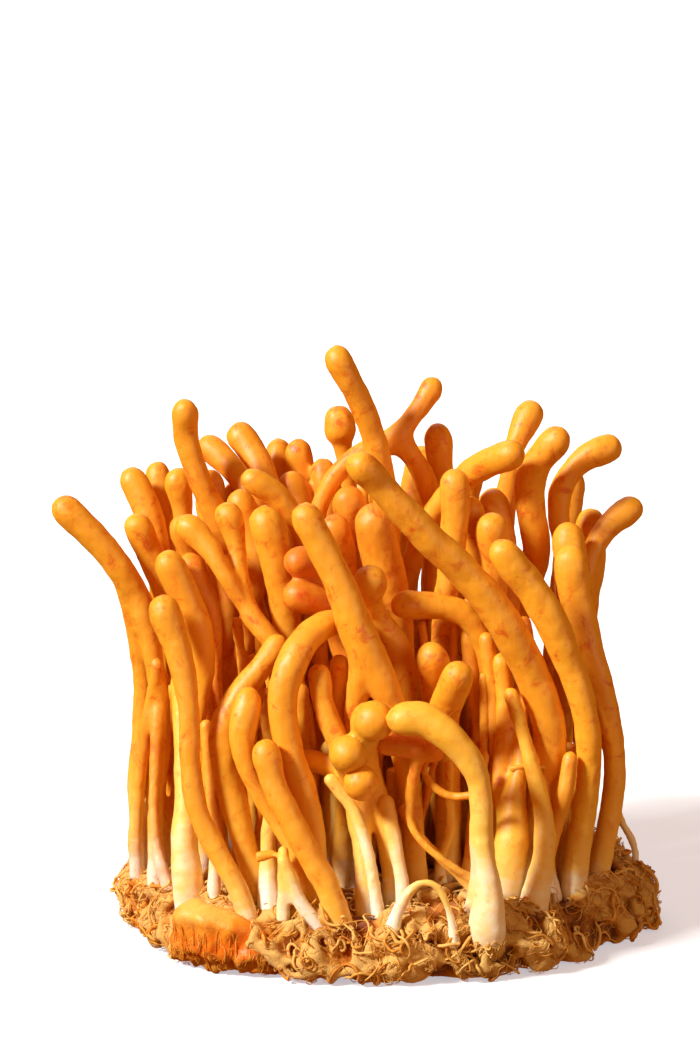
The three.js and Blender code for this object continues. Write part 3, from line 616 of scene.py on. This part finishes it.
# foot to tip, or one hidden end to the other for a tendril that bridges two stems
tendrils = [
    ([(4, -24, 27, 0.9), (3, -24, 22, 0.75), (3.5, -25, 18, 0.7), (7, -26, 14.5, 0.6),
      (12, -25, 11, 0.8)], 6, 0.2),
    ([(5, -22, 29, 0.6), (5, -22.5, 24.5, 0.55), (8, -23, 22, 0.6), (12, -24, 22.5, 0.6)], 6, 0.2),
    ([(2, -20, 20, 0.9), (4, -22, 17, 0.7), (7, -24, 14, 0.65), (11, -25, 10, 0.7)], 6, 0.3),
    ([(1, -16, 24, 1.0), (1, -17, 17, 1.0), (2, -19, 8, 1.1)], 10, 0.1),
    ([(33, -2, 5, 0.7), (33, -2, 10, 0.6), (31, -2, 14, 0.6), (30, -4, 19, 0.7)], 12, 0.0),
    ([(19, -6, 34, 0.9), (18, -6, 41, 1.0)], 6, 0.4),
    ([(24, -14, 7, 1.5), (24, -14, 13, 1.4), (26, -12, 20, 1.3), (27, -10, 27, 1.1)], 9, 0.1),
    ([(17, -18, 7, 1.7), (19, -15, 14, 1.6), (22, -13, 20, 1.2)], 8, 0.1),
    ([(14, -15, 7, 1.0), (14, -14, 20, 0.9), (14, -13, 30, 0.9), (13, -12, 40, 1.1)], 9, 0.2),
    ([(11, -15, 7, 1.1), (12, -11, 26, 1.0), (11, -10, 36, 1.1), (11, -9, 44, 1.2)], 8, 0.2),
    ([(16, -17, 24, 0.5), (18, -17, 24.5, 0.45), (21, -16, 24, 0.5)], 3, 0.2),
    ([(-15, -24, 7, 1.6), (-15, -23, 11, 1.4), (-15, -22, 17, 1.1), (-14, -21, 22, 1.0)], 12, 0.0),
    ([(-13, -28.5, 7, 1.0), (-13, -28.5, 12, 0.9), (-13, -28, 16, 0.8)], 10, 0.0),
    ([(-8, -30, 6, 0.9), (-11, -29.5, 10, 1.1), (-13, -29, 15, 0.9)], 10, 0.0),
    ([(-16.5, -27, 15, 0.8), (-14.5, -27, 15.4, 0.7)], 4, 0.2),
    ([(-11, -17, 7, 1.3), (-11, -16, 24, 1.2), (-11, -16, 34, 1.3)], 12, 0.2),
    ([(-6, -18, 28, 1.2), (-6, -18, 38, 1.3)], 6, 0.3),
    ([(-5, -16, 7, 2.2), (-6, -15, 16, 2.2), (-7, -15, 26, 1.6)], 20, 0.0),
    ([(-1, -27, 7, 1.0), (-2, -26, 14, 0.9), (-4, -24, 20, 0.9), (-7, -23, 24, 1.0)], 22, 0.0),
    ([(2.5, -27, 7, 1.1), (1.5, -25, 14, 1.0), (0, -23, 21, 1.2)], 18, 0.1),
    ([(0.5, -32, 6, 1.0), (1.5, -32, 9.5, 0.85), (4, -32, 12.8, 0.6), (6.5, -32, 12.2, 0.55),
      (8, -32, 8.6, 0.6), (8.6, -32, 5, 0.7)], 9, 0.0),
    ([(2, -12, 26, 1.0), (6, -20, 27, 1.4), (4, -24, 28.5, 1.6), (0, -24.5, 29, 1.3)], 5, 0.6),
    ([(-30, -11, 7, 1.2), (-30, -10, 16, 0.9), (-29, -9, 26, 0.8), (-30, -8, 38, 1.1)], 12, 0.2),
    ([(-28, -14, 7, 1.0), (-30, -12, 15, 0.8), (-29.5, -9, 30, 0.9)], 14, 0.5),
    ([(-32.5, -7, 7, 1.2), (-32.5, -7, 16, 1.0), (-31, -8, 28, 0.9), (-29.5, -9, 36, 0.9)], 10, 0.3),
    ([(-22, -22, 7, 0.9), (-22, -20, 17, 0.8), (-23, -18, 30, 0.9)], 12, 0.2),
]
fillStems("tendrils", tendrils)
print("tendrils made")

young = {
    "count": 120,
    "triesEach": 40,
    "seed": 7,
    "reachMm": 28.5,
    "clearMm": 0.2,
    "frontMm": -20,  # none stand further forward
    "rightMm": 22,  # or further to the right
    "girthMm": (0.8, 1.5),
    "tallMm": (22, 32),
    "innerTallMm": 5,  # how much taller they get inside the clump
    "nearFrontMm": -13,  # past these two they stay short
    "nearRightMm": 14,
    "shortMm": 18,
    "footZMm": 6.5,
    "stemZMm": 7.5,
    "joints": 4,
    "swayMm": 0.9,
    "spreadMm": 0.35,
    "taper": 0.25,
    "paleMm": (3, 9),
    "ripeness": (0.05, 0.6),
    "voxelMm": 0.42,
}


def makeYoungBodies():
    rng = random.Random(young["seed"])
    spots = [v.co.copy() for b in bodies for i, v in enumerate(b.data.vertices) if i % 6 == 0]
    taken = kdtree.KDTree(len(spots))
    for i, spot in enumerate(spots):
        taken.insert(spot, i)
    taken.balance()
    stems, made = [], []
    for _ in range(young["count"] * young["triesEach"]):
        if len(stems) >= young["count"]:
            break
        angle = rng.uniform(0, 2 * math.pi)
        reach = young["reachMm"] * math.sqrt(rng.random())
        x, y = reach * math.cos(angle), reach * math.sin(angle)
        if y < young["frontMm"] or x > young["rightMm"]:
            continue
        girth = rng.uniform(*young["girthMm"])
        inside = 1 - reach / young["reachMm"]
        inner = young["innerTallMm"] * min(1, inside * 2.2)
        tall = rng.uniform(*young["tallMm"]) + inner * rng.uniform(0.4, 1)
        if x > young["nearRightMm"] or y < young["nearFrontMm"]:
            tall = min(tall, young["shortMm"])
        points = [(x, y, young["footZMm"], girth * 1.25)]
        for k in range(young["joints"]):
            share = (k + 1) / young["joints"]
            x += rng.gauss(0, young["swayMm"]) + young["spreadMm"] * math.cos(angle)
            y += rng.gauss(0, young["swayMm"]) + young["spreadMm"] * math.sin(angle)
            points.append((x, y, young["stemZMm"] + tall * share, girth * (1 - young["taper"] * share)))
        path = smoothPath(points, 2.0)
        clear = all(taken.find(p.xyz * mm)[2] > (p.w + young["clearMm"]) * mm for p in path[3:])
        apart = all((p.xyz - q.xyz).length > p.w + q.w
                    for other in made for p in path[::2] for q in other[::2])
        if clear and apart:
            made.append(path)
            stems.append((points, rng.uniform(*young["paleMm"]), rng.uniform(*young["ripeness"])))
    half = len(stems) // 2
    fillStems("young_bodies_a", stems[:half], young["voxelMm"])
    fillStems("young_bodies_b", stems[half:], young["voxelMm"])
    print("young bodies made:", len(stems))


makeYoungBodies()

# the mycelium disc: a lumpy core, thick curled cords grown into it, then loose threads
disc = {
    "seed": 31,
    "coreVoxelMm": 1.0,
    "voxelMm": 0.42,
    "lumpMm": 7.0,
    "lumpHeightMm": 3.8,
    "foldMm": 2.4,
    "foldHeightMm": 0.5,
    "feltMm": 0.8,
    "feltHeightMm": 0.2,
    "cords": 520,
    "cordLengthMm": (6, 18),
    "cordRadiusMm": (0.4, 0.8),
    "cordStandMm": (0.3, 1.6),
    "cordBend": 0.7,
    "cordSteps": 14,
}


def surfaceTree(piece):
    mesh = piece.data
    return BVHTree.FromPolygons([v.co for v in mesh.vertices], [p.vertices for p in mesh.polygons])


def threadGirth(along):
    # thin at both ends
    return 0.15 + 0.85 * math.sin(math.pi * (0.04 + 0.92 * along)) ** 0.6


def creepingThread(rng, tree, lengthMm, radiusMm, stand, place, bend, steps=9, fall=0.0):
    # a thread that creeps over a surface in curls, lifting off it here and there
    angle, share, height = place
    outwards = Vector((math.cos(angle), math.sin(angle), 0))
    start = matCentre + outwards * matRadius * 1.05 * share + Vector((0, 0, height))
    point, normal, _, _ = tree.find_nearest(start)
    heading = Vector((rng.gauss(0, 1), rng.gauss(0, 1), rng.gauss(0, 1)))
    heading = (heading - normal * heading.dot(normal)).normalized()
    curl = rng.gauss(0, bend)
    points, radii = [], []
    for i in range(steps):
        along = i / (steps - 1)
        lift = rng.uniform(*stand) * mm * (0.4 + math.sin(math.pi * along))
        spot = point + normal * lift
        spot.z = max(spot.z, radiusMm * mm)
        if not points or (spot - points[-1]).length > 0.1 * mm:
            points.append(spot)
            radii.append(radiusMm * mm * threadGirth(along))
        curl += rng.gauss(0, bend * 0.45)
        heading = heading * math.cos(curl * 0.5) + normal.cross(heading) * math.sin(curl * 0.5)
        heading = (heading + Vector((rng.gauss(0, 0.2), rng.gauss(0, 0.2), rng.gauss(0, 0.2) - fall))).normalized()
        point, normal, _, _ = tree.find_nearest(point + heading * lengthMm * mm / (steps - 1))
    for _ in range(2):  # kinks taken out
        evened = [(a + 2 * b + c) / 4 for a, b, c in zip(points, points[1:], points[2:])]
        points = [points[0]] + evened + [points[-1]]
    return points, radii


def threadCurve(name, threads, sideSteps=0):
    curve = bpy.data.curves.new(name, "CURVE")
    curve.dimensions = "3D"
    curve.bevel_depth = 1.0
    curve.bevel_resolution = sideSteps
    for points, radii in threads:
        spline = curve.splines.new("POLY")
        spline.points.add(len(points) - 1)
        for target, point, radius in zip(spline.points, points, radii):
            target.co = (*point, 1)
            target.radius = radius
    piece = bpy.data.objects.new(name, curve)
    bpy.context.scene.collection.objects.link(piece)
    selectOnly(piece)
    bpy.ops.object.convert(target="MESH")
    return bpy.context.object


def scatterPlace(rng, rim):
    angle = rng.uniform(0, 2 * math.pi)
    if rim:
        return angle, rng.uniform(0.92, 1.05), rng.uniform(0, matTopZ)
    return angle, math.sqrt(rng.random()), matTopZ


def roughen(piece, kind):
    texture = cloudTexture("disc" + kind.title(), disc[kind + "Mm"] * mm, 3)
    applyModifier(piece, "DISPLACE", texture=texture, texture_coords="LOCAL",
                  strength=disc[kind + "HeightMm"] * mm, mid_level=0.45)


def makeDisc():
    piece = cageOf("mycelium_mat")
    applyModifier(piece, "SUBSURF", levels=1, render_levels=1)
    applyModifier(piece, "REMESH", mode="VOXEL", voxel_size=disc["coreVoxelMm"] * mm)
    roughen(piece, "lump")
    core = surfaceTree(piece)
    rng = random.Random(disc["seed"])
    # three cords in five start at the rim
    cords = [creepingThread(rng, core, rng.uniform(*disc["cordLengthMm"]), rng.uniform(*disc["cordRadiusMm"]),
                            disc["cordStandMm"], scatterPlace(rng, i % 5 < 3), disc["cordBend"], disc["cordSteps"])
             for i in range(disc["cords"])]
    cordPiece = threadCurve("cords", [cord for cord in cords if len(cord[0]) > 4], 1)
    selectOnly(piece)
    cordPiece.select_set(True)
    bpy.ops.object.join()
    applyModifier(piece, "REMESH", mode="VOXEL", voxel_size=disc["voxelMm"] * mm)
    applyModifier(piece, "SMOOTH", factor=0.5, iterations=1)
    roughen(piece, "fold")
    roughen(piece, "felt")
    mesh = piece.data
    # how far each spot stands out from the core; the felt uses it to paint the low spots darker, as painted shade
    outness = []
    for vertex in mesh.vertices:
        vertex.co.z = max(vertex.co.z, 0.0)
        spot, normal, _, _ = core.find_nearest(vertex.co)
        outness.append((vertex.co - spot).dot(normal) / mm)
    setAttribute(mesh, "standsOut", outness)
    smoothShade(piece)
    piece.name = "mycelium_disc"
    mesh.materials.clear()
    mesh.materials.append(looks["felt"])
    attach(piece, "root")
    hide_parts("mycelium_mat")
    return piece


discPiece = makeDisc()
print("disc made:", len(discPiece.data.polygons))


# the orange skin lobe over the rim at the front left
lobe = {
    "voxelMm": 0.35,
    "smoothPasses": 6,
    "growMm": 0.8,
    "raise": 1.42,  # how much its middle is drawn up
    "endRaise": 0.5,  # and its two ends
    "ribs": 15,
    "ribMm": 0.2,
    "ribsMeetAt": 0.6,  # across, as a share
    "crestMm": 1.0,
    "crestAt": 0.82,  # up, as a share
    "crestWide": 0.14,
    "bulgeMm": 0.5,
    "endsInMm": 1.6,
    "lumpHeightMm": 1.0,
    "ragMm": 1.4,
    "ragHeightMm": 2.2,
}


def makeLobe():
    piece = cageOf("orange_skin_lobe")
    applyModifier(piece, "SUBSURF", levels=2, render_levels=2)
    applyModifier(piece, "DISPLACE", strength=lobe["growMm"] * mm, mid_level=0)
    applyModifier(piece, "REMESH", mode="VOXEL", voxel_size=lobe["voxelMm"] * mm)
    applyModifier(piece, "SMOOTH", factor=0.5, iterations=lobe["smoothPasses"])
    mesh = piece.data
    turns = [math.atan2(v.co.y, v.co.x) for v in mesh.vertices]
    first, last = min(turns), max(turns)
    low = min(v.co.z for v in mesh.vertices)
    top = max(v.co.z for v in mesh.vertices)
    crests = []
    for vertex, turn in zip(mesh.vertices, turns):
        # a fan: high in the middle, thin and low at both ends, with ribs that spread from its foot
        across = (turn - first) / (last - first)
        arch = math.sin(math.pi * min(1, max(0, across)) ** 0.75)
        up = (vertex.co.z - low) / (top - low)
        stretch = lobe["endRaise"] + (lobe["raise"] - lobe["endRaise"]) * arch**0.6
        vertex.co.z = low + (vertex.co.z - low) * stretch
        outwards = Vector((vertex.co.x, vertex.co.y, 0)).normalized()
        ribTurn = math.atan2(up + 0.3, (across - lobe["ribsMeetAt"]) * 2.2)
        rib = lobe["ribMm"] * math.sin(ribTurn * lobe["ribs"])
        crest = lobe["crestMm"] * math.exp(-(((up - lobe["crestAt"]) / lobe["crestWide"]) ** 2))
        bulge = (crest + lobe["bulgeMm"] * up) * arch
        vertex.co += outwards * (rib - lobe["endsInMm"] * (1 - arch) + bulge) * mm
        crests.append(up * (0.3 + 0.7 * arch))
    setAttribute(mesh, "nearCrest", crests)
    ragged = piece.vertex_groups.new(name="ragged")
    for i, crest in enumerate(crests):
        ragged.add([i], max(0.0, min(1.0, 1.15 - 1.6 * crest)), "REPLACE")
    applyModifier(piece, "DISPLACE", texture=lumps, texture_coords="LOCAL",
                  strength=lobe["lumpHeightMm"] * mm, mid_level=0.45)
    rags = cloudTexture("lobeRags", lobe["ragMm"] * mm, 4)
    applyModifier(piece, "DISPLACE", texture=rags, texture_coords="LOCAL",
                  strength=lobe["ragHeightMm"] * mm, mid_level=0.42, vertex_group="ragged")
    for vertex in mesh.vertices:
        vertex.co.z = max(vertex.co.z, 0.0)
    smoothShade(piece)
    piece.name = "skin_lobe"
    piece.data.materials.append(looks["skin"])
    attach(piece, "root")
    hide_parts("orange_skin_lobe")
    return piece


lobePiece = makeLobe()
print("lobe made")


# loose threads: many open splines in one curve, made a mesh, each with its own shade
discTree = surfaceTree(discPiece)
lobeTree = surfaceTree(lobePiece)


def finishThreads(name, threads, shades, look="fibre"):
    piece = threadCurve(name, threads)
    mesh = piece.data
    sides = len(mesh.vertices) // sum(len(points) for points, _ in threads)
    setAttribute(mesh, "fibreShade", [shade for (points, _), shade in zip(threads, shades)
                                      for _ in range(len(points) * sides)])
    mesh.materials.clear()
    mesh.materials.append(looks[look])
    smoothShade(piece)
    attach(piece, "root")


def scatterThreads(name, count, seed, rim, lengthMm, radiusMm, stand, shade, clearMm, bend=0.7, steps=9):
    rng = random.Random(seed)
    threads, shades = [], []
    while len(threads) < count:
        points, radii = creepingThread(rng, discTree, rng.uniform(*lengthMm), rng.uniform(*radiusMm), stand,
                                       scatterPlace(rng, rim), bend, steps)
        if len(points) < 4 or min(lobeTree.find_nearest(p)[3] for p in points[::3]) < clearMm * mm:
            continue
        threads.append((points, radii))
        shades.append(rng.uniform(*shade))
    finishThreads(name, threads, shades)


fringe = {
    "count": 260,
    "seed": 41,
    "turn": (3.66, 4.4),  # where it starts, in radians round the disc
    "out": 1.08,
    "up": (0.05, 0.72),  # as shares of the lobe's height
    "lengthMm": (1.5, 5),
    "radiusMm": (0.03, 0.09),
    "standMm": (-0.05, 0.15),
    "bend": 0.12,
    "fall": 0.9,
    "shade": (0.1, 0.6),
}


def lobeFringe():
    # torn fibres that hang down the lower part of the lobe, under its smooth crest
    rng = random.Random(fringe["seed"])
    threads, shades = [], []
    low = min(v.co.z for v in lobePiece.data.vertices)
    top = max(v.co.z for v in lobePiece.data.vertices)
    while len(threads) < fringe["count"]:
        place = (rng.uniform(*fringe["turn"]), fringe["out"], low + (top - low) * rng.uniform(*fringe["up"]))
        lengthMm, radiusMm = rng.uniform(*fringe["lengthMm"]), rng.uniform(*fringe["radiusMm"])
        points, radii = creepingThread(rng, lobeTree, lengthMm, radiusMm, fringe["standMm"], place,
                                       fringe["bend"], fall=fringe["fall"])
        if len(points) < 4:
            continue
        threads.append((points, radii))
        shades.append(rng.uniform(*fringe["shade"]))
    finishThreads("lobe_fringe", threads, shades, "fringe")


# length, thickness and stand-off in mm, then shade from crust 0 to pale 1
scatterThreads("rim_fluff", 1500, 21, True, (1.5, 4), (0.03, 0.07), (0.0, 0.6), (0.45, 0.95), 0.05)
scatterThreads("top_fluff", 1500, 23, False, (2, 5), (0.04, 0.08), (0.0, 0.9), (0.5, 1.0), 0.1)
scatterThreads("rim_curls", 340, 22, True, (5, 14), (0.1, 0.27), (0.0, 0.8), (0.5, 1.0), 0.5, 0.42, 18)
scatterThreads("top_curls", 340, 24, False, (5, 14), (0.1, 0.27), (0.1, 1.1), (0.6, 1.05), 0.8, 0.42, 18)


down = {
    "node": "front_right_bow",
    "count": 110,
    "seed": 43,
    "turnSpread": 0.06,
    "upMm": (2.6, 5.2),
    "topMm": 7,
    "lengthMm": (1.2, 3),
    "radiusMm": (0.04, 0.12),
    "standMm": (-0.05, 0.35),
    "bend": 0.3,
    "fall": 0.6,
    "shade": (0.85, 1.2),
}


def footDown():
    # pale down where the swollen foot goes into the disc
    rng = random.Random(down["seed"])
    tree = surfaceTree(next(b for b in bodies if b.name == "body_" + down["node"]))
    middle = Vector(swellings[down["node"]][-2][:3]) * mm - matCentre
    threads = []
    while len(threads) < down["count"]:
        turn = math.atan2(middle.y, middle.x) + rng.gauss(0, down["turnSpread"])
        place = (turn, 1.0, rng.uniform(*down["upMm"]) * mm)
        lengthMm, radiusMm = rng.uniform(*down["lengthMm"]), rng.uniform(*down["radiusMm"])
        points, radii = creepingThread(rng, tree, lengthMm, radiusMm, down["standMm"], place,
                                       down["bend"], fall=down["fall"])
        if len(points) > 3 and max(p.z for p in points) < down["topMm"] * mm:
            threads.append((points, radii))
    finishThreads("foot_down", threads, [rng.uniform(*down["shade"]) for _ in threads])


lobeFringe()
footDown()
print("threads made")

# studio: camera, light and floor
view = {"distanceMm": 600, "downDegrees": 10, "aimMm": (-4.6, 0, 52.9), "lensMm": 157.2, "sensorMm": 36}
keyLight = {"power": 5.0, "degrees": 12, "colour": "#FFFDF8", "heading": (0.68, 0.46, -0.62)}
# place and size in metres, power in watts
softLights = {
    "backLight": {"place": (-0.1, 0.5, 0.5), "size": 0.5, "power": 1.0, "colour": "#FFFFFF"},
    "fillLight": {"place": (0.36, -0.36, 0.12), "size": 0.3, "power": 0.5, "colour": "#FFF2DC"},
}
clumpMiddle = Vector((0, 0, 0.035))
backdrop = {"floor": "#D8DCE0", "glow": "#F4F8FF", "glowStrength": 0.5, "bounce": "#985C12"}


def makeStudio():
    tilt = math.radians(view["downDegrees"])
    aim = Vector(view["aimMm"]) * mm
    camera = bpy.data.cameras.new("camera")
    camera.lens = view["lensMm"]
    camera.sensor_width = view["sensorMm"]
    holder = bpy.data.objects.new("camera", camera)
    holder.location = aim + Vector((0, -math.cos(tilt), math.sin(tilt))) * view["distanceMm"] * mm
    holder.rotation_euler = (math.pi / 2 - tilt, 0, 0)
    bpy.context.scene.collection.objects.link(holder)
    bpy.context.scene.camera = holder

    sun = bpy.data.lights.new("keyLight", "SUN")
    sun.energy = keyLight["power"]
    sun.angle = math.radians(keyLight["degrees"])
    sun.color = toLinear(keyLight["colour"])[:3]
    lamp = bpy.data.objects.new("keyLight", sun)
    lamp.rotation_euler = Vector(keyLight["heading"]).to_track_quat("-Z", "Y").to_euler()
    bpy.context.scene.collection.objects.link(lamp)
    for name, soft in softLights.items():
        light = bpy.data.lights.new(name, "AREA")
        light.size = soft["size"]
        light.energy = soft["power"]
        light.color = toLinear(soft["colour"])[:3]
        lamp = bpy.data.objects.new(name, light)
        lamp.location = soft["place"]
        lamp.rotation_euler = (clumpMiddle - Vector(soft["place"])).to_track_quat("-Z", "Y").to_euler()
        bpy.context.scene.collection.objects.link(lamp)

    bpy.ops.mesh.primitive_plane_add(size=9, location=(0, 2.5, 0))
    floor = bpy.context.object
    floor.name = "floor"
    # it shows white, but throws no light up into the clump
    floor.visible_diffuse = False
    floor.visible_glossy = False
    paper, tree = newMaterial("floorPaper")
    finishMaterial(tree, {
        "Base Color": toLinear(backdrop["floor"]), "Roughness": 0.9,
        "Emission Color": toLinear(backdrop["glow"]), "Emission Strength": backdrop["glowStrength"],
    })
    floor.data.materials.append(paper)

    world = bpy.data.worlds.new("studio")
    world.use_nodes = True
    # white to look at, but dim and warm as a light, so the gaps between the stems stay deep
    tree = world.node_tree
    seen = addNode(tree, "ShaderNodeLightPath").outputs["Is Camera Ray"]
    tint = mixColours(tree, seen, toLinear(backdrop["bounce"]), (1, 1, 1, 1))
    tree.links.new(tint, tree.nodes["Background"].inputs[0])
    tree.nodes["Background"].inputs[1].default_value = 1.0
    bpy.context.scene.world = world
    bpy.context.scene.view_settings.view_transform = "Standard"


makeStudio()
print("studio made")
